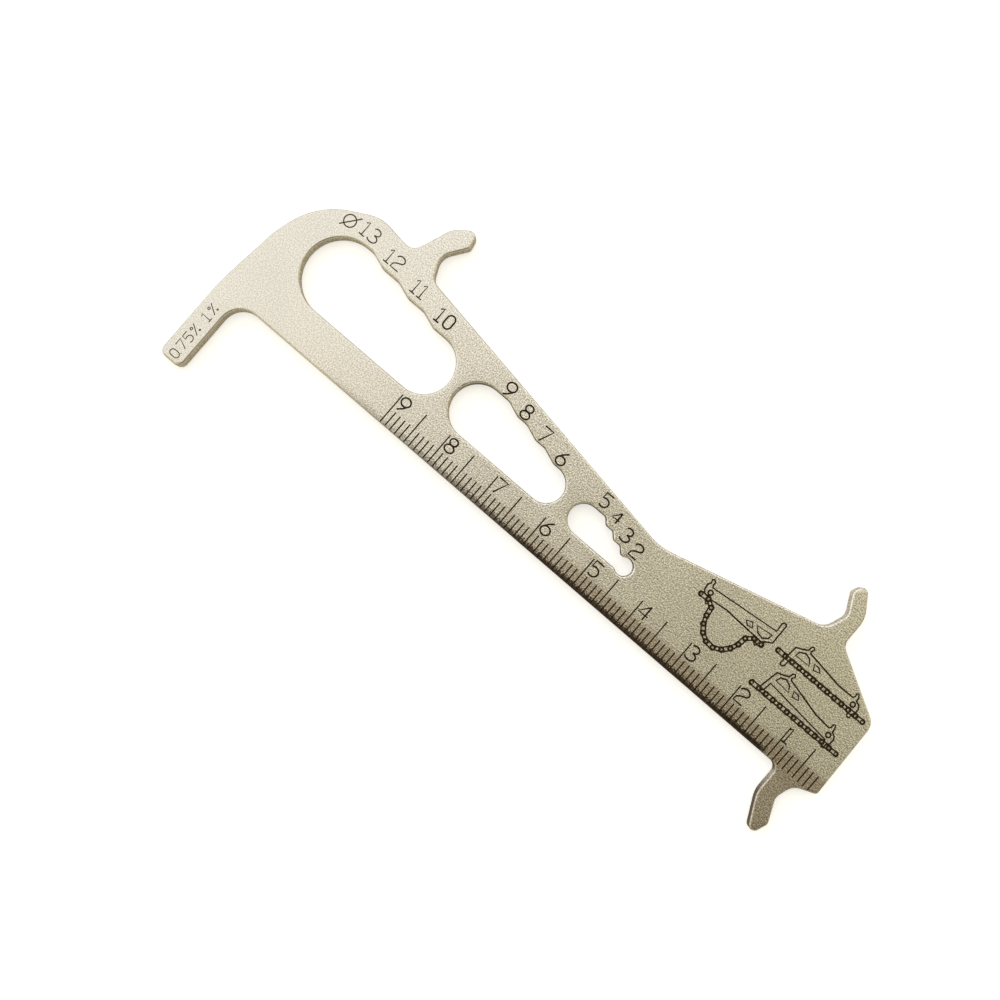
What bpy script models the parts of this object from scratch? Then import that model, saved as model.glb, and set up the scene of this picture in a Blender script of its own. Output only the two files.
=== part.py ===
"""Chain wear gauge: one flat steel plate with a wear hook, two horns, a foot and three ball slots.

Run it with blender --background --python part.py, or from Blender's text editor.
Lengths are in metres. The plate lies flat with its marked face up: X runs along the
ruler edge from the wear hook to the wide end, Y runs up the plate and Z is up.
The plan is drawn from the corner where the wear hook's outer side would meet the
ruler edge, and the finished plate is centred on the origin.
"""

import math

import bmesh
import bpy
from mathutils import Vector

MM = 0.001

# The plate as a whole
PLATE_LENGTH = 124.4 * MM
PLATE_THICKNESS = 2.0 * MM
RIM_RADIUS = 0.35 * MM
RIM_STEPS = 3
CHORD_ERROR = 0.008 * MM

# The wear hook below the ruler edge: its tip drops between two chain rollers
HOOK_ARM_WIDTH = 4.4 * MM
HOOK_DROP = 14.5 * MM
HOOK_TIP_RADIUS = 1.2 * MM
HOOK_ROOT_RADIUS = 3.8 * MM

# The round head above the wear hook, from its side up over the shoulder to its crown
HEAD_LEAN_START = 0.5 * MM
HEAD_LEAN_RADIUS = 38.0 * MM
HEAD_SIDE_INSET = 1.4 * MM
HEAD_SIDE_DROP = 8.2 * MM
HEAD_SIDE_RADIUS = 6.8 * MM
HEAD_SHOULDER_INSET = 2.3 * MM
HEAD_SHOULDER_DROP = 5.0 * MM
HEAD_SHOULDER_RADIUS = 13.5 * MM
HEAD_CROWN_INSET = 9.5 * MM
HEAD_CROWN_WALL = 5.15 * MM
HEAD_CROWN_RADIUS = 6.0 * MM

# The left horn, measured from its base on the head, which stands beside the crown
LEFT_HORN_GAP = 7.3 * MM
LEFT_HORN_BASE_DROP = 0.95 * MM
LEFT_HORN_BASE_RADIUS = 2.0 * MM
LEFT_HORN_LEAN = 1.2 * MM
LEFT_HORN_KNEE_HEIGHT = 2.75 * MM
LEFT_HORN_KNEE_RADIUS = 2.3 * MM
LEFT_HORN_SHOULDER_ACROSS = 2.75 * MM
LEFT_HORN_SHOULDER_HEIGHT = 6.85 * MM
LEFT_HORN_SHOULDER_RADIUS = 3.5 * MM
LEFT_HORN_CROWN_ACROSS = 6.4 * MM
LEFT_HORN_REACH = 9.55 * MM
LEFT_HORN_TIP_RADIUS = 1.2 * MM
LEFT_HORN_OVERHANG = 0.65 * MM
LEFT_HORN_LIP_DEPTH = 3.3 * MM
LEFT_HORN_THROAT_ACROSS = 4.2 * MM
LEFT_HORN_THROAT_HEIGHT = 2.35 * MM
LEFT_HORN_THROAT_RADIUS = 2.7 * MM
LEFT_HORN_ROOT_ACROSS = 5.95 * MM
LEFT_HORN_ROOT_HEIGHT = -1.5 * MM
LEFT_HORN_ROOT_RADIUS = 2.0 * MM

# The waist, where the top edge comes nearest to the ruler, just past the small slot
WAIST_GAP = 0.8 * MM
WAIST_WALL = 1.95 * MM
WAIST_RADIUS = 9.6 * MM

# What the right horn and the foot share: both are slim claws of one pattern
CLAW_KNEE_HEIGHT = 5.15 * MM
CLAW_KNEE_RADIUS = 5.0 * MM
CLAW_TIP_RADIUS = 0.95 * MM
CLAW_LIP_RADIUS = 0.9 * MM
CLAW_THROAT_RADIUS = 1.75 * MM
CLAW_ROOT_RADIUS = 2.7 * MM

# The right horn, measured back from the wide end and up from the end's high corner
RIGHT_HORN_SETBACK = 11.65 * MM
RIGHT_HORN_BASE_RISE = 6.5 * MM
RIGHT_HORN_BASE_RADIUS = 1.85 * MM
RIGHT_HORN_CROWN_ACROSS = 3.2 * MM
RIGHT_HORN_REACH = 9.85 * MM
RIGHT_HORN_OVERHANG = 1.1 * MM
RIGHT_HORN_LIP_DEPTH = 2.5 * MM
RIGHT_HORN_THROAT_ACROSS = 2.5 * MM
RIGHT_HORN_THROAT_HEIGHT = 3.85 * MM
RIGHT_HORN_ROOT_ACROSS = 3.8 * MM
RIGHT_HORN_ROOT_HEIGHT = 0.25 * MM

# The foot below the ruler edge, measured back from the wide end
FOOT_SETBACK = 7.3 * MM
FOOT_BASE_RADIUS = 1.25 * MM
FOOT_CROWN_ACROSS = 3.25 * MM
FOOT_REACH = 11.6 * MM
FOOT_OVERHANG = 1.35 * MM
FOOT_LIP_DEPTH = 3.75 * MM
FOOT_THROAT_ACROSS = 2.85 * MM
FOOT_THROAT_HEIGHT = 3.9 * MM
FOOT_ROOT_ACROSS = 3.75 * MM
FOOT_ROOT_HEIGHT = 0.85 * MM

# The wide end
END_LOW_HEIGHT = 0.6 * MM
END_LOW_RADIUS = 0.6 * MM
END_LEAN = 0.4 * MM
END_HIGH_HEIGHT = 14.5 * MM
END_HIGH_RADIUS = 2.5 * MM

# The ball slots: one straight floor, and a ceiling that steps down by ramps
SLOT_FLOOR_HEIGHT = 6.8 * MM
BALL_STEP = 1.0 * MM
BALL_CLEARANCE = 0.25 * MM
RAMPS = 3

# The slot for balls of 13, 12, 11 and 10 mm, set in from the head's outer side
LARGE_SLOT_WALL = 8.1 * MM
LARGE_SLOT_BALL = 13.0 * MM
LARGE_SLOT_LEAD = 1.2 * MM
LARGE_SLOT_RAMP = 2.8 * MM
LARGE_SLOT_FLAT = 3.4 * MM
LARGE_SLOT_TAIL = 2.7 * MM
LARGE_RAMP_RADIUS = 2.0 * MM

# The slot for balls of 9, 8, 7 and 6 mm
MIDDLE_SLOT_WALL = 1.95 * MM
MIDDLE_SLOT_BALL = 9.0 * MM
MIDDLE_SLOT_LEAD = 2.7 * MM
MIDDLE_SLOT_RAMP = 2.6 * MM
MIDDLE_SLOT_FLAT = 2.0 * MM
MIDDLE_SLOT_TAIL = 1.2 * MM
MIDDLE_RAMP_RADIUS = 2.0 * MM

# The slot for balls of 5, 4, 3 and 2 mm, whose neck opens into a round relief
SMALL_SLOT_WALL = 2.6 * MM
SMALL_SLOT_BALL = 5.0 * MM
SMALL_SLOT_LEAD = 2.25 * MM
SMALL_SLOT_RAMP = 0.9 * MM
SMALL_SLOT_FLAT = 1.45 * MM
SMALL_RAMP_RADIUS = 0.6 * MM
NECK_LENGTH = 0.2 * MM
RELIEF_DEPTH = 0.375 * MM
RELIEF_EDGE_RADIUS = 0.5 * MM

# The finish: bead-blasted stainless steel
STEEL_COLOUR = (0.62, 0.58, 0.49, 1.0)
STEEL_ROUGHNESS = 0.42


def arc(centre, radius, start, sweep):
    """Points on an arc, close enough that no chord strays by more than CHORD_ERROR."""
    step = 2.0 * math.acos(1.0 - CHORD_ERROR / radius)
    count = max(2, math.ceil(abs(sweep) / step))
    angles = [start + sweep * i / count for i in range(count + 1)]
    return [centre + radius * Vector((math.cos(a), math.sin(a))) for a in angles]


def fillet(before, corner, after, radius):
    """The arc that rounds one corner between the two straight runs that meet there."""
    to_before = (before - corner).normalized()
    to_after = (after - corner).normalized()
    half = to_before.angle(to_after) / 2.0
    centre = corner + (to_before + to_after).normalized() * radius / math.sin(half)
    first = corner + to_before * radius / math.tan(half) - centre
    last = corner + to_after * radius / math.tan(half) - centre
    start = math.atan2(first.y, first.x)
    turn = math.atan2(last.y, last.x) - start
    sweep = (turn + math.pi) % (2.0 * math.pi) - math.pi
    return arc(centre, radius, start, sweep)


def rounded_loop(corners):
    """A closed loop through (x, y, radius) corners. A corner of radius 0 stays a point."""
    places = [Vector((x, y)) for x, y, radius in corners]
    points = []
    for i, (x, y, radius) in enumerate(corners):
        if radius > 0.0:
            after = places[(i + 1) % len(places)]
            points += fillet(places[i - 1], places[i], after, radius)
        else:
            points.append(places[i])
    return [p for i, p in enumerate(points) if (p - points[i - 1]).length > CHORD_ERROR / 10.0]


def claw(base, toward, away, back, crown, lip, throat, root):
    """Corners round a claw, from its base up its back and down its front to its root.

    Each corner is (across, along, radius), measured from the base, but the lip is
    measured from the crown: how far it hangs over, and how far below the tip it lies.
    toward is +1 where the throat faces +X, and away is +1 where the claw points to +Y.
    """
    hooked_lip = (crown[0] + lip[0], crown[1] - lip[1], lip[2])
    corners = [base]
    for across, along, radius in back + [crown, hooked_lip, throat, root]:
        corners.append((base[0] + toward * across, base[1] + away * along, radius))
    return corners


def hook_corners():
    """The wear hook's tip and root."""
    return [
        (0.0, -HOOK_DROP, HOOK_TIP_RADIUS),
        (HOOK_ARM_WIDTH, -HOOK_DROP, HOOK_TIP_RADIUS),
        (HOOK_ARM_WIDTH, 0.0, HOOK_ROOT_RADIUS),
    ]


def foot_corners():
    """The foot: a claw that points down, with its throat toward the wide end."""
    return claw(
        base=(PLATE_LENGTH - FOOT_SETBACK, 0.0, FOOT_BASE_RADIUS),
        toward=1,
        away=-1,
        back=[(0.0, CLAW_KNEE_HEIGHT, CLAW_KNEE_RADIUS)],
        crown=(FOOT_CROWN_ACROSS, FOOT_REACH, CLAW_TIP_RADIUS),
        lip=(FOOT_OVERHANG, FOOT_LIP_DEPTH, CLAW_LIP_RADIUS),
        throat=(FOOT_THROAT_ACROSS, FOOT_THROAT_HEIGHT, CLAW_THROAT_RADIUS),
        root=(FOOT_ROOT_ACROSS, FOOT_ROOT_HEIGHT, CLAW_ROOT_RADIUS),
    )


def end_corners():
    """The wide end, from the ruler edge up."""
    return [
        (PLATE_LENGTH, END_LOW_HEIGHT, END_LOW_RADIUS),
        (PLATE_LENGTH - END_LEAN, END_HIGH_HEIGHT, END_HIGH_RADIUS),
    ]


def right_horn_corners():
    """The right horn: a claw that points up, with its throat toward the waist."""
    base_y = END_HIGH_HEIGHT + RIGHT_HORN_BASE_RISE
    return claw(
        base=(PLATE_LENGTH - RIGHT_HORN_SETBACK, base_y, RIGHT_HORN_BASE_RADIUS),
        toward=-1,
        away=1,
        back=[(0.0, CLAW_KNEE_HEIGHT, CLAW_KNEE_RADIUS)],
        crown=(RIGHT_HORN_CROWN_ACROSS, RIGHT_HORN_REACH, CLAW_TIP_RADIUS),
        lip=(RIGHT_HORN_OVERHANG, RIGHT_HORN_LIP_DEPTH, CLAW_LIP_RADIUS),
        throat=(RIGHT_HORN_THROAT_ACROSS, RIGHT_HORN_THROAT_HEIGHT, CLAW_THROAT_RADIUS),
        root=(RIGHT_HORN_ROOT_ACROSS, RIGHT_HORN_ROOT_HEIGHT, CLAW_ROOT_RADIUS),
    )


def waist_corners():
    """The waist, beside the small slot's end and above its highest ceiling."""
    waist_x = small_slot_end() + WAIST_GAP
    return [(waist_x, ceiling_height(SMALL_SLOT_BALL) + WAIST_WALL, WAIST_RADIUS)]


def head_corners():
    """The round head, from its crown down the outer side to the wear hook."""
    crown_y = ceiling_height(LARGE_SLOT_BALL) + HEAD_CROWN_WALL
    shoulder_x = HEAD_SIDE_INSET + HEAD_SHOULDER_INSET
    shoulder_y = crown_y - HEAD_SHOULDER_DROP
    return [
        (shoulder_x + HEAD_CROWN_INSET, crown_y, HEAD_CROWN_RADIUS),
        (shoulder_x, shoulder_y, HEAD_SHOULDER_RADIUS),
        (HEAD_SIDE_INSET, shoulder_y - HEAD_SIDE_DROP, HEAD_SIDE_RADIUS),
        (0.0, HEAD_LEAN_START, HEAD_LEAN_RADIUS),
    ]


def left_horn_corners():
    """The left horn, the broad one, met from its root round to its base on the head."""
    crown_x, crown_y = head_corners()[0][:2]
    corners = claw(
        base=(crown_x + LEFT_HORN_GAP, crown_y - LEFT_HORN_BASE_DROP, LEFT_HORN_BASE_RADIUS),
        toward=1,
        away=1,
        back=[
            (LEFT_HORN_LEAN, LEFT_HORN_KNEE_HEIGHT, LEFT_HORN_KNEE_RADIUS),
            (LEFT_HORN_SHOULDER_ACROSS, LEFT_HORN_SHOULDER_HEIGHT, LEFT_HORN_SHOULDER_RADIUS),
        ],
        crown=(LEFT_HORN_CROWN_ACROSS, LEFT_HORN_REACH, LEFT_HORN_TIP_RADIUS),
        lip=(LEFT_HORN_OVERHANG, LEFT_HORN_LIP_DEPTH, CLAW_LIP_RADIUS),
        throat=(LEFT_HORN_THROAT_ACROSS, LEFT_HORN_THROAT_HEIGHT, LEFT_HORN_THROAT_RADIUS),
        root=(LEFT_HORN_ROOT_ACROSS, LEFT_HORN_ROOT_HEIGHT, LEFT_HORN_ROOT_RADIUS),
    )
    return corners[::-1]


def plate_plan():
    """The outer outline, counter-clockwise from the wear hook's tip."""
    return rounded_loop(
        hook_corners()
        + foot_corners()
        + end_corners()
        + right_horn_corners()
        + waist_corners()
        + left_horn_corners()
        + head_corners()
    )


def ceiling_height(ball):
    """How high the ceiling stands where a ball of this size just passes."""
    return SLOT_FLOOR_HEIGHT + ball + BALL_CLEARANCE


def smallest(ball):
    """The last ball of a slot whose first ball is this one."""
    return ball - RAMPS * BALL_STEP


def end_radius(ball):
    """The radius of a slot's round end."""
    return (ball + BALL_CLEARANCE) / 2.0


def ramps_start(wall_x, ball, lead):
    """Where a slot's first ramp starts, when the slot's left end is at wall_x."""
    return wall_x + end_radius(ball) + lead


def ramps_end(start_x, ramp, flat):
    """Where a slot's last ramp ends."""
    return start_x + RAMPS * ramp + (RAMPS - 1) * flat


def ceiling_corners(start_x, ball, ramp, flat, radius):
    """The ramps of a slot's ceiling, from its smallest ball back to its largest."""
    corners = []
    for step in reversed(range(RAMPS)):
        ramp_x = start_x + step * (ramp + flat)
        high = ceiling_height(ball - step * BALL_STEP)
        corners.append((ramp_x + ramp, high - BALL_STEP, radius))
        corners.append((ramp_x, high, radius))
    return corners


def round_end(centre_x, ball, side):
    """The half circle at a slot's end: side is +1 at the right, and -1 at the left."""
    radius = end_radius(ball)
    centre = Vector((centre_x, SLOT_FLOOR_HEIGHT + radius))
    points = arc(centre, radius, -side * math.pi / 2.0, math.pi)
    return [(p.x, p.y, 0.0) for p in points]


def stepped_slot(wall_x, ball, lead, ramp, flat, tail, radius):
    """A slot with two round ends, and the place of its right end."""
    start_x = ramps_start(wall_x, ball, lead)
    centre_x = ramps_end(start_x, ramp, flat) + tail
    last_ball = smallest(ball)
    corners = (
        round_end(centre_x, last_ball, 1)
        + ceiling_corners(start_x, ball, ramp, flat, radius)
        + round_end(wall_x + end_radius(ball), ball, -1)
    )
    return rounded_loop(corners), centre_x + end_radius(last_ball)


def large_slot():
    """The slot under the head, and the place of its right end."""
    return stepped_slot(
        LARGE_SLOT_WALL,
        LARGE_SLOT_BALL,
        LARGE_SLOT_LEAD,
        LARGE_SLOT_RAMP,
        LARGE_SLOT_FLAT,
        LARGE_SLOT_TAIL,
        LARGE_RAMP_RADIUS,
    )


def middle_slot():
    """The slot past the large one, and the place of its right end."""
    return stepped_slot(
        large_slot()[1] + MIDDLE_SLOT_WALL,
        MIDDLE_SLOT_BALL,
        MIDDLE_SLOT_LEAD,
        MIDDLE_SLOT_RAMP,
        MIDDLE_SLOT_FLAT,
        MIDDLE_SLOT_TAIL,
        MIDDLE_RAMP_RADIUS,
    )


def small_slot_wall():
    """The place of the small slot's left end."""
    return middle_slot()[1] + SMALL_SLOT_WALL


def relief_centre():
    """The centre and radius of the round relief at the small slot's end."""
    half_neck = end_radius(smallest(SMALL_SLOT_BALL))
    start_x = ramps_start(small_slot_wall(), SMALL_SLOT_BALL, SMALL_SLOT_LEAD)
    ramp_turn = math.atan2(BALL_STEP, SMALL_SLOT_RAMP)
    neck_start = ramps_end(start_x, SMALL_SLOT_RAMP, SMALL_SLOT_FLAT)
    neck_end = neck_start + SMALL_RAMP_RADIUS * math.tan(ramp_turn / 2.0) + NECK_LENGTH
    radius = half_neck + RELIEF_DEPTH
    reach = radius + RELIEF_EDGE_RADIUS
    run = math.sqrt(reach ** 2 - (half_neck + RELIEF_EDGE_RADIUS) ** 2)
    return Vector((neck_end + run, SLOT_FLOOR_HEIGHT + half_neck)), radius


def small_slot_end():
    """The place of the small slot's right end."""
    centre, radius = relief_centre()
    return centre.x + radius


def relief_end():
    """The round relief that the neck opens into, with its two edges rounded."""
    centre, radius = relief_centre()
    edge = RELIEF_EDGE_RADIUS
    rise = end_radius(smallest(SMALL_SLOT_BALL)) + edge
    lean = math.asin(rise / (radius + edge))
    run = (radius + edge) * math.cos(lean)
    turn = math.pi / 2.0 - lean
    lower = arc(centre + Vector((-run, -rise)), edge, math.pi / 2.0, -turn)
    round_part = arc(centre, radius, math.pi + lean, 2.0 * (math.pi - lean))
    upper = arc(centre + Vector((-run, rise)), edge, -lean, -turn)
    return [(p.x, p.y, 0.0) for p in lower + round_part + upper]


def small_slot():
    """The slot past the middle one, whose neck ends in the relief."""
    wall_x = small_slot_wall()
    start_x = ramps_start(wall_x, SMALL_SLOT_BALL, SMALL_SLOT_LEAD)
    return rounded_loop(
        relief_end()
        + ceiling_corners(
            start_x, SMALL_SLOT_BALL, SMALL_SLOT_RAMP, SMALL_SLOT_FLAT, SMALL_RAMP_RADIUS
        )
        + round_end(wall_x + end_radius(SMALL_SLOT_BALL), SMALL_SLOT_BALL, -1)
    )


def inset_loop(points, distance, into_hole):
    """The loop moved into the metal: inward for the outline, outward for a slot."""
    side = 1.0 if into_hole else -1.0
    moved = []
    for i, point in enumerate(points):
        along_in = (point - points[i - 1]).normalized()
        along_out = (points[(i + 1) % len(points)] - point).normalized()
        normal = Vector((along_in.y + along_out.y, -along_in.x - along_out.x)).normalized()
        spread = normal.dot(Vector((along_in.y, -along_in.x)))
        moved.append(point + normal * side * distance / spread)
    return moved


def rim_profile():
    """(inset, height) pairs that carry a loop up the wall and round both of its rims."""
    profile = []
    for i in range(RIM_STEPS + 1):
        angle = math.pi / 2.0 * i / RIM_STEPS
        inset = RIM_RADIUS * (1.0 - math.sin(angle))
        profile.append((inset, RIM_RADIUS * (1.0 - math.cos(angle))))
    upper = [(inset, PLATE_THICKNESS - height) for inset, height in reversed(profile)]
    return profile + upper


def build_wall(mesh, points, into_hole):
    """Skin one loop from the bottom face to the top face, and return the two end rings."""
    rings = []
    for inset, height in rim_profile():
        loop = inset_loop(points, inset, into_hole)
        rings.append([mesh.verts.new((p.x, p.y, height)) for p in loop])
    for low, high in zip(rings, rings[1:]):
        for i in range(len(points)):
            face = mesh.faces.new((low[i - 1], low[i], high[i], high[i - 1]))
            face.smooth = True
    return rings[0], rings[-1]


def ring_edges(mesh, ring):
    """The edges that join one ring's vertices."""
    return [mesh.edges.get((ring[i - 1], ring[i])) for i in range(len(ring))]


def build_plate():
    """The whole plate as one closed mesh, centred on the origin and lying on Z = 0."""
    outline = plate_plan()
    slots = [large_slot()[0], middle_slot()[0], small_slot()]
    mid_x = (min(p.x for p in outline) + max(p.x for p in outline)) / 2.0
    mid_y = (min(p.y for p in outline) + max(p.y for p in outline)) / 2.0
    middle = Vector((mid_x, mid_y))

    mesh = bmesh.new()
    lower_edges = []
    upper_edges = []
    for points, into_hole in [(outline, False)] + [(slot, True) for slot in slots]:
        lower, upper = build_wall(mesh, [p - middle for p in points], into_hole)
        lower_edges += ring_edges(mesh, lower)
        upper_edges += ring_edges(mesh, upper)
    for edges in (lower_edges, upper_edges):
        bmesh.ops.triangle_fill(mesh, use_beauty=True, use_dissolve=False, edges=edges)
    bmesh.ops.recalc_face_normals(mesh, faces=mesh.faces)

    data = bpy.data.meshes.new("gauge_plate")
    mesh.to_mesh(data)
    mesh.free()
    return data


def steel_material():
    """Blasted stainless steel: a warm grey metal without a mirror shine."""
    material = bpy.data.materials.new("blasted_stainless_steel")
    material.use_nodes = True
    shader = material.node_tree.nodes["Principled BSDF"]
    shader.inputs["Base Color"].default_value = STEEL_COLOUR
    shader.inputs["Metallic"].default_value = 1.0
    shader.inputs["Roughness"].default_value = STEEL_ROUGHNESS
    material.diffuse_color = STEEL_COLOUR
    return material


def main():
    for old in list(bpy.data.objects):
        bpy.data.objects.remove(old, do_unlink=True)
    plate = bpy.data.objects.new("gauge_plate", build_plate())
    plate.data.materials.append(steel_material())
    bpy.context.scene.collection.objects.link(plate)


main()
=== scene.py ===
import math
from itertools import zip_longest

import bpy
from mathutils import Matrix, Vector


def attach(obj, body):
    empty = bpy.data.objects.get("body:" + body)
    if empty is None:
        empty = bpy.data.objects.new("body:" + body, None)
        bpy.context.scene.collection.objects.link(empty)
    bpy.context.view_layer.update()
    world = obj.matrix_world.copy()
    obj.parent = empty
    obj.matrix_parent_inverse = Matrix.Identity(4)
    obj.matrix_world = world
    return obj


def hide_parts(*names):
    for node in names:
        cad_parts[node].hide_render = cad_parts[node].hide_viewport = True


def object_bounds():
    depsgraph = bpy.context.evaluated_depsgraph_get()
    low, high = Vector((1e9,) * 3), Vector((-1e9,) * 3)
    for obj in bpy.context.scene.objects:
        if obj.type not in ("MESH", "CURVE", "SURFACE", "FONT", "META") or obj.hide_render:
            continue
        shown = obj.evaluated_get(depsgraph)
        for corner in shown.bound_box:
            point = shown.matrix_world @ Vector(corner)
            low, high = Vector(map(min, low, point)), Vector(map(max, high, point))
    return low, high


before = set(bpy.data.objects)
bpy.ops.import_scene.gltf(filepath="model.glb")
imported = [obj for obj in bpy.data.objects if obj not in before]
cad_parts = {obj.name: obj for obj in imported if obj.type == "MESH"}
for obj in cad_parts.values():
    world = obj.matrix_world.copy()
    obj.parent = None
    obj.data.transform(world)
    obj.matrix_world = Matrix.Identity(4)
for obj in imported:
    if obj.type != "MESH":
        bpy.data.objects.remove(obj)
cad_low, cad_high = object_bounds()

MM = 0.001

# The plate, in millimetres from its middle: its marked face, its ruler's edge and zero
MARKED_FACE = cad_high[2] / MM
HOOK_DROP = 14.5
RULER_EDGE = cad_low[1] / MM + HOOK_DROP
RULER_ZERO = cad_high[0] / MM + 0.37

# The engraving: a round-nosed line that stands a little proud of its full depth
LINE_WIDTH = 0.33
FINE_LINE_WIDTH = 0.26
LINE_LIFT = 0.3

# The finishes that the plate carries, in this order
FACE, GROOVE, WALL = 0, 1, 2


# Handwork


def deselect_all():
    bpy.ops.object.select_all(action="DESELECT")


def pick(piece):
    """Make one piece the only one selected and worked on."""
    deselect_all()
    piece.select_set(True)
    bpy.context.view_layer.objects.active = piece


def placed_copy(piece, place):
    """A copy with its own mesh, and its place in the mesh."""
    copy = piece.copy()
    copy.data = piece.data.copy()
    bpy.context.scene.collection.objects.link(copy)
    copy.data.transform(place)
    return copy


def merged(piece):
    """Close the seams of the one piece that is picked."""
    bpy.ops.object.mode_set(mode="EDIT")
    bpy.ops.mesh.select_all(action="SELECT")
    bpy.ops.mesh.remove_doubles(threshold=0.001 * MM)
    bpy.ops.object.mode_set(mode="OBJECT")
    return piece


def joined(pieces, name):
    """Several pieces as one."""
    pieces[0].name = name
    if len(pieces) == 1:
        return pieces[0]
    deselect_all()
    for piece in pieces:
        piece.select_set(True)
    bpy.context.view_layer.objects.active = pieces[0]
    bpy.ops.object.join()
    return pieces[0]


def thrown_away(piece):
    bpy.data.objects.remove(piece, do_unlink=True)


def shift(x, y, z=0.0):
    """A move by millimetres."""
    return Matrix.Translation(Vector((x, y, z)) * MM)


# Drawing with a round-nosed cutter


def bow(x, y, across, high, start, sweep, count=8):
    """Points along part of an oval, from its middle, half width and half height."""
    points = []
    for i in range(count + 1):
        angle = math.radians(start + sweep * i / count)
        points.append((x + across * math.cos(angle), y + high * math.sin(angle)))
    return points


def ring(x, y, across, high, count=14):
    """Points all round an oval."""
    return bow(x, y, across, high, 0.0, 360.0, count)[:-1]


def pen_line(points, width, closed=False):
    """A groove's cutter, drawn point by point on the marked face, in millimetres."""
    spots = [Vector((x, y, MARKED_FACE)) * MM for x, y in points]
    if closed:
        spots.append(spots[0])
    deselect_all()
    bpy.ops.mesh.primitive_plane_add(size=width * MM, location=spots[0])
    bpy.ops.object.mode_set(mode="EDIT")
    bpy.ops.mesh.select_all(action="SELECT")
    bpy.ops.mesh.merge(type="CENTER")
    for before, spot in zip(spots, spots[1:]):
        bpy.ops.mesh.extrude_region_move(TRANSFORM_OT_translate={"value": spot - before})
    bpy.ops.object.mode_set(mode="OBJECT")
    merged(bpy.context.active_object)
    bpy.ops.object.transform_apply(location=True, rotation=True, scale=True)
    bpy.ops.object.convert(target="CURVE")
    line = bpy.context.active_object
    line.data.twist_mode = "Z_UP"
    line.data.bevel_depth = width / 2.0 * MM
    line.data.bevel_resolution = 2
    line.data.use_fill_caps = True
    bpy.ops.object.convert(target="MESH")
    line = merged(bpy.context.active_object)
    line.data.transform(shift(0.0, 0.0, LINE_LIFT * width / 2.0))
    return line


def figure_lines():
    """Single-line numerals, one unit high and about two thirds of one wide."""
    six = [([(0.56, 1.0), (0.24, 0.72), (0.04, 0.42)], False), (ring(0.34, 0.3, 0.34, 0.3), True)]
    nine = [([(0.68 - x, 1.0 - y) for x, y in points], closed) for points, closed in six]
    sweep_of_two = bow(0.34, 0.74, 0.34, 0.26, 170.0, -205.0, 9)
    belly_of_five = bow(0.3, 0.32, 0.36, 0.32, 120.0, -250.0, 9)
    return {
        "0": [(bow(0.3, 0.7, 0.3, 0.3, 0, 180) + bow(0.3, 0.3, 0.3, 0.3, 180, 180), True)],
        "1": [([(0.08, 0.84), (0.3, 1.0), (0.3, 0.0)], False), ([(0.08, 0.0), (0.54, 0.0)], False)],
        "2": [(sweep_of_two + [(0.22, 0.42), (0.04, 0.27), (0.0, 0.0), (0.68, 0.0)], False)],
        "3": [
            (bow(0.3, 0.76, 0.3, 0.24, 150.0, -240.0), False),
            (bow(0.28, 0.26, 0.38, 0.26, 90.0, -240.0, 9), False),
        ],
        "4": [([(0.56, 1.0), (0.0, 0.33), (0.76, 0.33)], False), ([(0.56, 1.0), (0.56, 0.0)], False)],
        "5": [([(0.64, 1.0), (0.06, 1.0), (0.03, 0.58)] + belly_of_five, False)],
        "6": six,
        "7": [([(0.0, 1.0), (0.68, 1.0), (0.24, 0.0)], False)],
        "8": [(ring(0.34, 0.76, 0.28, 0.24), True), (ring(0.34, 0.26, 0.34, 0.26), True)],
        "9": nine,
        "%": [
            (ring(0.13, 0.83, 0.13, 0.11, 8), True),
            ([(0.0, 0.0), (0.62, 1.0)], False),
            (ring(0.56, 0.14, 0.07, 0.06, 8), True),
        ],
        ".": [([(0.0, 0.0), (0.05, 0.05)], False)],
        "O": [(ring(0.5, 0.48, 0.48, 0.48, 20), True), ([(0.0, -0.18), (1.12, 1.18)], False)],
    }


def numeral(sign, high, place, width=LINE_WIDTH):
    """The cutters for one sign, a line each, drawn where it stands."""
    cutters = []
    for points, closed in figure_lines()[sign]:
        cutter = pen_line([(x * high, y * high) for x, y in points], width, closed)
        cutter.data.transform(place)
        cutters.append(cutter)
    return cutters


# The ruler


def ruler_marks():
    """A mark for every millimetre from 2 to 90, long ones for every fifth."""
    foot = RULER_EDGE + 0.1
    short = pen_line([(0.0, foot), (0.0, RULER_EDGE + 2.9)], FINE_LINE_WIDTH)
    long = pen_line([(0.0, foot), (0.0, RULER_EDGE + 5.82)], FINE_LINE_WIDTH)
    cutters = []
    for mark in range(2, 91):
        pattern = short if mark % 5 else long
        cutters.append(placed_copy(pattern, shift(RULER_ZERO - mark, 0.0)))
    thrown_away(short)
    thrown_away(long)
    return cutters


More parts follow.
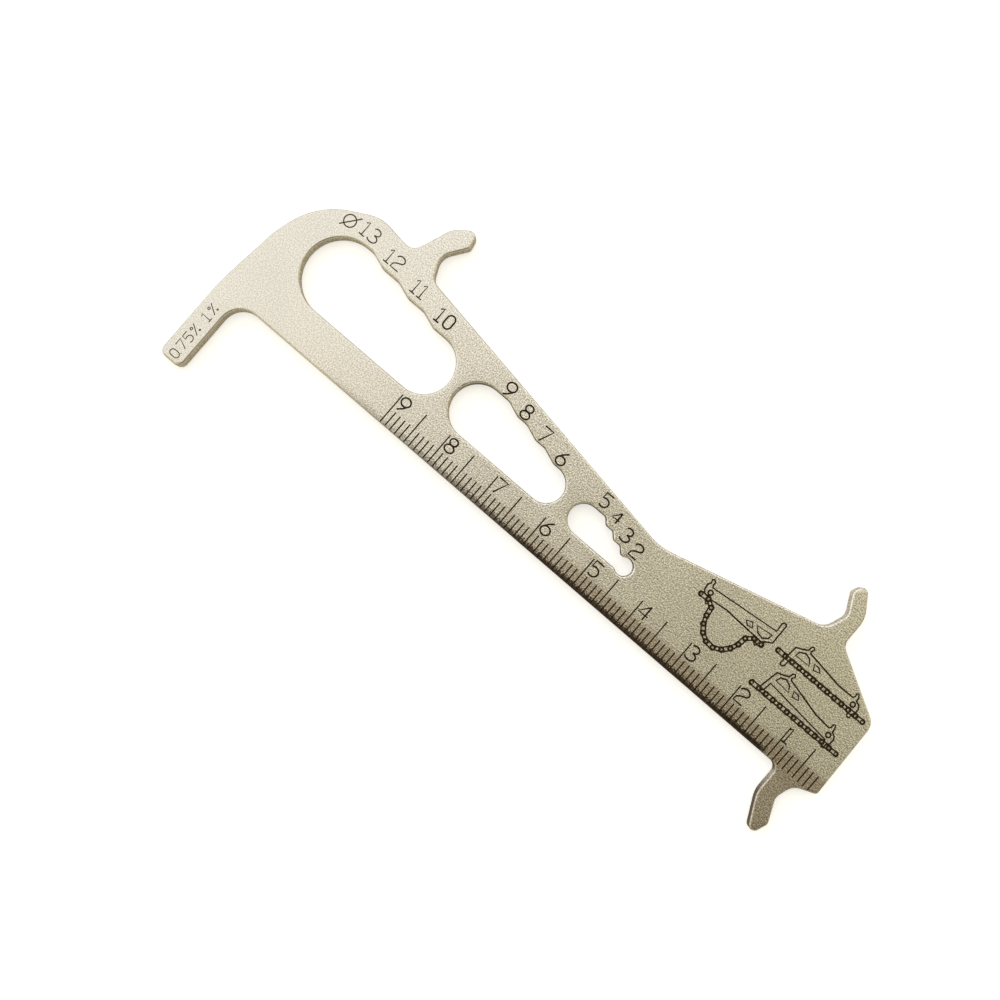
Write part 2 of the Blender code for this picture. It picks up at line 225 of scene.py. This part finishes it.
def signs_on_the_plate():
    """The ruler's figures, the ball sizes over their steps, and the wear limits."""
    signs = []
    for centimetre in range(1, 10):
        left = RULER_ZERO - 10.0 * centimetre + (0.38 if centimetre > 1 else -0.2)
        signs.append(numeral(str(centimetre), 2.5, shift(left, RULER_EDGE + 3.4)))
    over_slots = [
        ("O", -53.5, 11.2, 2.2),
        ("1", -50.3, 11.75, 2.4),
        ("3", -48.5, 11.75, 2.4),
        ("1", -44.4, 10.95, 2.35),
        ("2", -42.7, 10.95, 2.35),
        ("1", -37.95, 9.95, 2.35),
        ("1", -36.5, 9.95, 2.35),
        ("1", -32.0, 8.95, 2.4),
        ("0", -30.15, 8.95, 2.4),
        ("9", -15.8, 7.0, 2.55),
        ("8", -11.4, 6.1, 2.45),
        ("7", -6.9, 5.1, 2.5),
        ("6", -2.4, 4.15, 2.4),
        ("5", 7.25, 3.6, 2.3),
        ("4", 10.3, 2.95, 1.95),
        ("3", 13.3, 1.6, 2.35),
        ("2", 16.0, 0.7, 2.35),
    ]
    for sign, left, foot, high in over_slots:
        width = FINE_LINE_WIDTH if left < -35.0 else LINE_WIDTH
        signs.append(numeral(sign, high, shift(left, foot), width))
    down_hook = [("0", 0.35), (".", 1.5), ("7", 2.1), ("5", 3.7), ("%", 5.4), ("1", 8.1), ("%", 9.75)]
    quarter_turn = Matrix.Rotation(math.radians(90.0), 4, "Z")
    for sign, along in down_hook:
        place = shift(-59.05, -23.2 + along) @ quarter_turn
        signs.append(numeral(sign, 1.75, place, 0.2))
    return signs


# The small drawings of the gauge at work on a chain


CHAIN_PITCH = 1.4


def gauge_drawing(place, width=0.32):
    """A line drawing of a gauge, laid from the corner between its wear hook and its edge."""
    hook = [(0.0, -1.5), (0.2, -1.75), (0.55, -1.75), (0.75, -1.45), (0.8, 0.0)]
    foot = [(12.7, 0.0), (12.85, -0.4), (12.8, -0.95), (13.1, -1.2), (13.45, -1.05), (13.3, -0.5)]
    end = [(13.65, -0.05), (13.65, 0.8), (13.35, 1.35)]
    right_horn = [(12.65, 1.6), (12.6, 2.2), (12.25, 2.7), (11.95, 2.5), (12.05, 2.1), (11.85, 1.7)]
    top = [(9.0, 1.65), (5.8, 2.15), (2.7, 2.6)]
    left_horn = [(2.5, 2.9), (2.75, 3.45), (2.45, 3.7), (2.15, 3.5), (2.05, 2.8)]
    head = [(1.3, 2.35), (0.3, 1.85)]
    outline = hook + foot + end + right_horn + top + left_horn + head
    large = [(1.05, 0.9), (1.25, 1.7), (2.1, 2.15), (3.05, 1.85), (3.7, 0.95)]
    middle = [(4.15, 1.75), (5.1, 1.75), (5.65, 1.2), (4.6, 0.9)]
    small = ring(12.55, 0.85, 0.4, 0.4, 10)
    cutters = []
    for points in (outline, large, middle, small):
        cutter = pen_line(points, width, True)
        cutter.data.transform(place)
        cutters.append(cutter)
    return cutters


def link_drawing(half_height, waist, width):
    """One side plate of a roller chain, from pin to pin along X, at the middle of the plate."""
    mid = CHAIN_PITCH / 2.0
    points = bow(0.0, 0.0, half_height, half_height, 60.0, 240.0, 8)
    points += [(mid, -waist)]
    points += bow(CHAIN_PITCH, 0.0, half_height, half_height, -120.0, 240.0, 8)
    points += [(mid, waist)]
    return pen_line(points, width, True)


def chain_drawings(chains):
    """Roller chains through their pins: outer plates, inner plates, rollers and pins."""
    outer = link_drawing(0.42, 0.34, 0.28)
    inner = link_drawing(0.38, 0.27, 0.28)
    roller = pen_line(ring(0, 0, 0.25, 0.25, 12), 0.22, True)
    rivet = pen_line([(-0.04, 0), (0.04, 0)], 0.16)
    layers = [[], [], [], []]
    for pins in chains:
        for i, (start, end) in enumerate(zip(pins, pins[1:])):
            turn = math.atan2(end[1] - start[1], end[0] - start[0])
            place = shift(*start) @ Matrix.Rotation(turn, 4, "Z")
            layers[i % 2].append(placed_copy(inner if i % 2 else outer, place))
        for pin in pins:
            layers[2].append(placed_copy(roller, shift(*pin)))
            layers[3].append(placed_copy(rivet, shift(*pin)))
    for pattern in (outer, inner, roller, rivet):
        thrown_away(pattern)
    return layers


def pins_along(path, count):
    """Pins one pitch apart along a drawn path."""
    pins = [path[0]]
    for before, spot in zip(path, path[1:]):
        run = math.dist(before, spot)
        while len(pins) < count and math.dist(pins[-1], spot) >= CHAIN_PITCH:
            last = pins[-1]
            low, high = 0.0, 1.0
            for _ in range(30):
                mid = (low + high) / 2.0
                trial = (before[0] + (spot[0] - before[0]) * mid, before[1] + (spot[1] - before[1]) * mid)
                if math.dist(last, trial) < CHAIN_PITCH:
                    low = mid
                else:
                    high = mid
            pins.append(trial)
            before = trial
    return pins


def drawings():
    """Left: the horns hold a chain's two ends. Right: a worn chain above, a sound one below."""
    turns = [Matrix.Rotation(math.radians(angle), 4, "Z") for angle in (186.2, 0.0, -5.5)]
    gauges = gauge_drawing(shift(42.1, 6.65) @ turns[0])
    gauges += gauge_drawing(shift(44.85, 4.75) @ turns[1])
    gauges += gauge_drawing(shift(45.0, -0.1) @ turns[2])
    sag = bow(34.85, 2.7, 3.5, 4.6, 180.0, 180.0, 60)
    hanging = [(28.7, 3.4), (30.2, 3.5)] + sag + [(39.5, 3.5), (41.0, 3.4)]
    chains = [
        pins_along(hanging, 14),
        [(43.4 + CHAIN_PITCH * i, 4.5) for i in range(13)],
        [(43.5 + CHAIN_PITCH * i, -1.95) for i in range(13)],
    ]
    return [gauges] + chain_drawings(chains)


# The plate


def engrave(plate, lines, floor):
    """Cut lines that don't cross as grooves. Their floors take the darkened finish."""
    cutter = joined(lines, "cutter")
    cutter.data.materials.clear()
    cutter.data.materials.append(floor)
    pick(plate)
    bpy.ops.object.modifier_add(type="BOOLEAN")
    groove = plate.modifiers[-1]
    groove.operation = "DIFFERENCE"
    groove.solver = "MANIFOLD"
    groove.material_mode = "TRANSFER"
    groove.object = cutter
    bpy.ops.object.modifier_apply(modifier=groove.name)
    thrown_away(cutter)


def keep_groove_lips_crisp(plate):
    """Mark the edges where a groove meets the face as sharp, so that the face stays flat."""
    sides = {}
    for face in plate.data.polygons:
        for ends in face.edge_keys:
            sides.setdefault(ends, set()).add(face.material_index)
    for edge in plate.data.edges:
        if len(sides[edge.key]) == 2 and GROOVE in sides[edge.key]:
            edge.use_edge_sharp = True


def plate_piece(steel, darkened, cut_wall):
    """The plate with its marks cut in, its cut walls, and its rounded rims shaded round."""
    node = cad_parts["gauge_plate"]
    plate = bpy.data.objects.new("engraved_plate", node.data.copy())
    bpy.context.scene.collection.objects.link(plate)
    plate.data.materials.clear()
    plate.data.materials.append(steel)
    pick(plate)
    merged(plate)
    engrave(plate, ruler_marks(), darkened)
    for lines in zip_longest(*signs_on_the_plate()):
        engrave(plate, [line for line in lines if line], darkened)
    for lines in drawings():
        engrave(plate, lines, darkened)
    plate.data.materials.append(cut_wall)
    toward_ruler = plate.data.attributes.new("toward_ruler", "FLOAT", "FACE")
    for face in plate.data.polygons:
        toward_ruler.data[face.index].value = max(0.0, -face.normal.y)
        if face.material_index == FACE and abs(face.normal.z) < 0.7:
            face.material_index = WALL
    pick(plate)
    bpy.ops.object.shade_smooth_by_angle(angle=math.radians(40.0))
    keep_groove_lips_crisp(plate)
    bpy.ops.object.modifier_add(type="WEIGHTED_NORMAL")
    plate.modifiers[-1].keep_sharp = True
    bpy.ops.object.modifier_apply(modifier=plate.modifiers[-1].name)
    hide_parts("gauge_plate")
    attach(plate, "root")
    return plate


# Finishes


def linear(hex_colour):
    """An sRGB colour such as D6CFBE as linear values with full opacity."""
    values = []
    for i in (0, 2, 4):
        part = int(hex_colour[i:i + 2], 16) / 255.0
        values.append(part / 12.92 if part <= 0.04045 else ((part + 0.055) / 1.055) ** 2.4)
    return (*values, 1.0)


def add_node(tree, kind, inputs=(), **settings):
    """A node with its settings, its plain values, and its links from other sockets."""
    node = tree.nodes.new(kind)
    for name, value in settings.items():
        setattr(node, name, value)
    for socket, value in dict(inputs).items():
        if isinstance(value, bpy.types.NodeSocket):
            tree.links.new(value, node.inputs[socket])
        else:
            node.inputs[socket].default_value = value
    return node


def new_material(name):
    """An empty material with its node tree and shader."""
    material = bpy.data.materials.new(name)
    material.use_nodes = True
    return material, material.node_tree, material.node_tree.nodes["Principled BSDF"]


def blasted_steel():
    """Stainless steel, glass-bead blasted after cutting: satin, with fine dimples."""
    material, tree, shader = new_material("bead_blasted_stainless_steel")
    place = add_node(tree, "ShaderNodeTexCoord").outputs["Object"]
    parts = add_node(tree, "ShaderNodeSeparateXYZ", {"Vector": place}).outputs
    # A bead's dimple is under 0.1 mm wide. It is drawn 0.25 mm wide, so that it shows
    values = {"Vector": place, "Scale": 1.0 / (0.25 * MM), "Detail": 2.0, "Roughness": 0.6}
    dimples = add_node(tree, "ShaderNodeTexNoise", values).outputs["Fac"]
    # Each dimple is a shade lighter or darker, and more so from the middle on
    values = {"Value": dimples, "From Min": 0.36, "From Max": 0.62}
    shade = add_node(tree, "ShaderNodeMapRange", values).outputs["Result"]
    colours = {0: shade, 6: linear("D4CDBE"), 7: linear("E8E3D7")}
    quiet = add_node(tree, "ShaderNodeMix", colours, data_type="RGBA").outputs[2]
    colours = {0: shade, 6: linear("BBB3A3"), 7: linear("FFFCF2")}
    strong = add_node(tree, "ShaderNodeMix", colours, data_type="RGBA").outputs[2]
    values = {"Value": parts["X"], "From Min": -50.0 * MM, "From Max": -10.0 * MM, "To Min": 0.12}
    depth = add_node(tree, "ShaderNodeMapRange", values).outputs["Result"]
    colours = {0: depth, 6: quiet, 7: strong}
    grain = add_node(tree, "ShaderNodeMix", colours, data_type="RGBA").outputs[2]
    # The satin drifts a little across the plate, in clouds of 7 mm
    values = {"Vector": place, "Scale": 1.0 / (7.0 * MM), "Detail": 3.0, "Roughness": 0.6}
    clouds = add_node(tree, "ShaderNodeTexNoise", values).outputs["Fac"]
    values = {"Value": clouds, "From Min": 0.3, "From Max": 0.7, "To Min": 0.96, "To Max": 1.03}
    tone = add_node(tree, "ShaderNodeMapRange", values).outputs["Result"]
    colours = {0: 1.0, 6: grain, 7: tone}
    steel = add_node(tree, "ShaderNodeMix", colours, data_type="RGBA", blend_type="MULTIPLY").outputs[2]
    # Painted reflection: the dark camera overhead, mirrored as a brown darkening over the millimetre marks,
    # fainter down the foot
    edge = RULER_EDGE * MM
    values = {"Value": parts["Y"], "From Min": edge + 3.6 * MM, "From Max": edge + 2.4 * MM, "To Max": 0.42}
    rows = add_node(tree, "ShaderNodeMapRange", values).outputs["Result"]
    values = {"Value": parts["Y"], "From Min": edge - 2.0 * MM, "From Max": edge, "To Min": 0.8}
    down = add_node(tree, "ShaderNodeMapRange", values).outputs["Result"]
    values = {"Value": parts["X"], "From Min": -18.0 * MM, "From Max": 14.0 * MM}
    along = add_node(tree, "ShaderNodeMapRange", values).outputs["Result"]
    fading = add_node(tree, "ShaderNodeMath", {0: rows, 1: down}, operation="MULTIPLY").outputs[0]
    painted_reflection = add_node(tree, "ShaderNodeMath", {0: fading, 1: along}, operation="MULTIPLY").outputs[0]
    colours = {0: painted_reflection, 6: steel, 7: linear("815927")}
    with_painted_reflection = add_node(tree, "ShaderNodeMix", colours, data_type="RGBA").outputs[2]
    # Painted shade: a ragged dark line along their rounded edge, which faces away from the window, from the
    # middle marks to the foot
    values = {0: dimples, 1: 2.4 * MM, 2: parts["Y"]}
    ragged = add_node(tree, "ShaderNodeMath", values, operation="MULTIPLY_ADD").outputs[0]
    values = {"Value": ragged, "From Min": edge + 2.4 * MM, "From Max": edge + 1.9 * MM, "To Max": 0.95}
    line = add_node(tree, "ShaderNodeMapRange", values).outputs["Result"]
    values = {"Value": parts["X"], "From Min": -42.0 * MM, "From Max": 2.0 * MM}
    start = add_node(tree, "ShaderNodeMapRange", values).outputs["Result"]
    values = {"Value": parts["X"], "From Min": 52.5 * MM, "From Max": 51.0 * MM}
    end = add_node(tree, "ShaderNodeMapRange", values).outputs["Result"]
    edge_shade_line = add_node(tree, "ShaderNodeMath", {0: line, 1: start}, operation="MULTIPLY").outputs[0]
    painted_edge_shade = add_node(tree, "ShaderNodeMath", {0: edge_shade_line, 1: end}, operation="MULTIPLY").outputs[0]
    colours = {0: painted_edge_shade, 6: with_painted_reflection, 7: linear("3F3026")}
    with_painted_edge_shade = add_node(tree, "ShaderNodeMix", colours, data_type="RGBA").outputs[2]
    tree.links.new(with_painted_edge_shade, shader.inputs["Base Color"])
    values = {"Value": clouds, "From Min": 0.3, "From Max": 0.7, "To Min": 0.2, "To Max": 0.26}
    satin = add_node(tree, "ShaderNodeMapRange", values).outputs["Result"]
    tree.links.new(satin, shader.inputs["Roughness"])
    values = {"Height": dimples, "Strength": depth, "Distance": 0.062 * MM}
    relief = add_node(tree, "ShaderNodeBump", values).outputs["Normal"]
    tree.links.new(relief, shader.inputs["Normal"])
    shader.inputs["Metallic"].default_value = 1.0
    return material


def cut_wall_steel():
    """Laser-cut walls, blasted only lightly, with fine upright ribs; a dark painted shade lies on those
    that face away from the light.
    """
    material, tree, shader = new_material("laser_cut_steel_wall")
    place = add_node(tree, "ShaderNodeTexCoord").outputs["Object"]
    parts = add_node(tree, "ShaderNodeSeparateXYZ", {"Vector": place}).outputs
    # The cut's ribs stand 0.18 mm apart and run from face to face
    values = {"Vector": place, "Scale": (1.0, 1.0, 0.2)}
    upright = add_node(tree, "ShaderNodeMapping", values).outputs["Vector"]
    values = {"Vector": upright, "Scale": 1.0 / (0.18 * MM), "Detail": 2.5, "Roughness": 0.6}
    ribs = add_node(tree, "ShaderNodeTexNoise", values).outputs["Fac"]
    values = {"Value": ribs, "From Min": 0.34, "From Max": 0.64}
    shade = add_node(tree, "ShaderNodeMapRange", values).outputs["Result"]
    colours = {0: shade, 6: linear("ADA28D"), 7: linear("F0E9DA")}
    bare = add_node(tree, "ShaderNodeMix", colours, data_type="RGBA").outputs[2]
    # Painted shade, dark brown, on the walls toward the ruler and round the foot, growing toward the wide
    # end, not up the horns
    facing = add_node(tree, "ShaderNodeAttribute", attribute_name="toward_ruler").outputs["Fac"]
    values = {"Value": facing, "From Min": 0.1, "From Max": 0.6}
    turned = add_node(tree, "ShaderNodeMapRange", values).outputs["Result"]
    edge = RULER_EDGE * MM
    values = {"Value": parts["Y"], "From Min": edge - 1.0 * MM, "From Max": edge - 5.0 * MM}
    foot = add_node(tree, "ShaderNodeMapRange", values).outputs["Result"]
    either = add_node(tree, "ShaderNodeMath", {0: turned, 1: foot}, operation="MAXIMUM").outputs[0]
    values = {"Value": parts["X"], "From Min": -45.0 * MM, "From Max": -5.0 * MM, "To Max": 0.85}
    along = add_node(tree, "ShaderNodeMapRange", values).outputs["Result"]
    values = {"Value": parts["Y"], "From Min": 10.5 * MM, "From Max": 8.5 * MM}
    below = add_node(tree, "ShaderNodeMapRange", values).outputs["Result"]
    growing = add_node(tree, "ShaderNodeMath", {0: either, 1: along}, operation="MULTIPLY").outputs[0]
    painted_wall_shade = add_node(tree, "ShaderNodeMath", {0: growing, 1: below}, operation="MULTIPLY").outputs[0]
    colours = {0: painted_wall_shade, 6: bare, 7: linear("3E3222")}
    with_painted_wall_shade = add_node(tree, "ShaderNodeMix", colours, data_type="RGBA").outputs[2]
    tree.links.new(with_painted_wall_shade, shader.inputs["Base Color"])
    values = {"Height": ribs, "Strength": 0.6, "Distance": 0.03 * MM}
    relief = add_node(tree, "ShaderNodeBump", values).outputs["Normal"]
    tree.links.new(relief, shader.inputs["Normal"])
    shader.inputs["Metallic"].default_value = 0.3
    shader.inputs["Roughness"].default_value = 0.65
    return material


def darkened_steel():
    """Steel that a laser has engraved: a burnt brown oxide with no shine."""
    material, tree, shader = new_material("laser_darkened_steel")
    place = add_node(tree, "ShaderNodeTexCoord").outputs["Object"]
    parts = add_node(tree, "ShaderNodeSeparateXYZ", {"Vector": place}).outputs
    values = {"Vector": place, "Scale": 1.0 / (0.3 * MM), "Detail": 2.0, "Roughness": 0.6}
    burn = add_node(tree, "ShaderNodeTexNoise", values).outputs["Fac"]
    values = {"Value": burn, "From Min": 0.35, "From Max": 0.7}
    shade = add_node(tree, "ShaderNodeMapRange", values).outputs["Result"]
    colours = {0: shade, 6: linear("1D1203"), 7: linear("40300F")}
    oxide = add_node(tree, "ShaderNodeMix", colours, data_type="RGBA").outputs[2]
    # The burn is fainter toward the wear hook
    values = {"Value": parts["X"], "From Min": -30.0 * MM, "From Max": -50.0 * MM, "To Max": 0.4}
    faint = add_node(tree, "ShaderNodeMapRange", values).outputs["Result"]
    colours = {0: faint, 6: oxide, 7: linear("8C8062")}
    faded = add_node(tree, "ShaderNodeMix", colours, data_type="RGBA").outputs[2]
    tree.links.new(faded, shader.inputs["Base Color"])
    shader.inputs["Specular IOR Level"].default_value = 0.2
    shader.inputs["Roughness"].default_value = 0.75
    return material


# The place where it lies, the light and the camera


def white_floor():
    """A white table that shows white to the camera and keeps the soft shadow."""
    bpy.ops.mesh.primitive_plane_add(size=3.0, location=(0.0, 0.0, -0.02 * MM))
    floor = bpy.context.active_object
    floor.name = "floor"
    material, tree, shader = new_material("white_table")
    seen = add_node(tree, "ShaderNodeLightPath").outputs["Is Camera Ray"]
    shades = {0: seen, 6: linear("D6D0C4"), 7: linear("E8E6E2")}
    cloth = add_node(tree, "ShaderNodeMix", shades, data_type="RGBA")
    tree.links.new(cloth.outputs[2], shader.inputs["Base Color"])
    shader.inputs["Roughness"].default_value = 0.9
    lift = add_node(tree, "ShaderNodeMath", {0: seen, 1: 0.56}, operation="MULTIPLY")
    shader.inputs["Emission Color"].default_value = (1.0, 1.0, 1.0, 1.0)
    tree.links.new(lift.outputs[0], shader.inputs["Emission Strength"])
    floor.data.materials.append(material)


def room():
    """A soft room: a white window high on one side, a dim warm wall on the other."""
    world = bpy.data.worlds.new("soft_room")
    bpy.context.scene.world = world
    world.use_nodes = True
    tree = world.node_tree
    back = tree.nodes["Background"]
    way = add_node(tree, "ShaderNodeTexCoord").outputs["Generated"]
    toward = {0: way, 1: (-0.866, 0.5, 0.0)}
    side = add_node(tree, "ShaderNodeVectorMath", toward, operation="DOT_PRODUCT").outputs["Value"]
    values = {"Value": side, "From Min": -1.0, "From Max": 1.0}
    level = add_node(tree, "ShaderNodeMapRange", values).outputs["Result"]
    light = add_node(tree, "ShaderNodeValToRGB", {"Fac": level})
    band = light.color_ramp.elements
    band[0].position = 0.0
    band[0].color = (0.6, 0.56, 0.47, 1.0)
    band[1].position = 1.0
    band[1].color = (1.14, 1.16, 1.18, 1.0)
    for toward_window, colour in (
        (-0.75, (0.52, 0.48, 0.38)),
        (-0.5, (0.38, 0.34, 0.25)),
        (-0.35, (0.69, 0.665, 0.485)),
        (-0.2, (1.15, 1.1, 0.81)),
        (-0.08, (0.55, 0.5, 0.355)),
        (0.03, (0.545, 0.49, 0.36)),
        (0.1, (0.88, 0.8, 0.65)),
        (0.18, (1.11, 1.08, 0.985)),
        (0.3, (1.12, 1.12, 1.115)),
    ):
        band.new((toward_window + 1.0) / 2.0).color = (*colour, 1.0)
    # A dark board beside the camera
    centre = {0: way, 1: (0.3, -0.22, 0.0)}
    offset = add_node(tree, "ShaderNodeVectorMath", centre, operation="SUBTRACT").outputs["Vector"]
    scaling = {0: offset, 1: (1.0 / 0.34, 1.0 / 0.25, 0.0)}
    scaled = add_node(tree, "ShaderNodeVectorMath", scaling, operation="MULTIPLY").outputs["Vector"]
    spread = add_node(tree, "ShaderNodeVectorMath", {0: scaled}, operation="ABSOLUTE").outputs["Vector"]
    parts = add_node(tree, "ShaderNodeSeparateXYZ", {"Vector": spread}).outputs
    reach = add_node(tree, "ShaderNodeMath", {0: parts["X"], 1: parts["Y"]}, operation="MAXIMUM").outputs[0]
    values = {"Value": reach, "From Min": 0.8, "From Max": 1.2, "To Min": 0.25}
    dimmed = add_node(tree, "ShaderNodeMapRange", values).outputs["Result"]
    sides = {0: 1.0, 6: light.outputs["Color"], 7: dimmed}
    shaded = add_node(tree, "ShaderNodeMix", sides, data_type="RGBA", blend_type="MULTIPLY").outputs[2]
    seen = add_node(tree, "ShaderNodeLightPath").outputs["Is Camera Ray"]
    sides = {0: seen, 6: shaded, 7: (1.0, 1.0, 1.0, 1.0)}
    shown = add_node(tree, "ShaderNodeMix", sides, data_type="RGBA").outputs[2]
    tree.links.new(shown, back.inputs["Color"])


def camera():
    """A camera close above the plate, almost straight down."""
    bpy.ops.object.camera_add(
        location=Vector((3.879, -7.456, 159.867)) * MM,
        rotation=[math.radians(angle) for angle in (2.432, 2.034, 40.786)],
    )
    view = bpy.context.active_object
    view.data.lens = 36.0
    view.data.sensor_width = 36.0
    view.data.clip_start = 0.005
    bpy.context.scene.camera = view


def main():
    plate_piece(blasted_steel(), darkened_steel(), cut_wall_steel())
    white_floor()
    room()
    camera()
    bpy.context.scene.view_settings.view_transform = "Standard"


main()
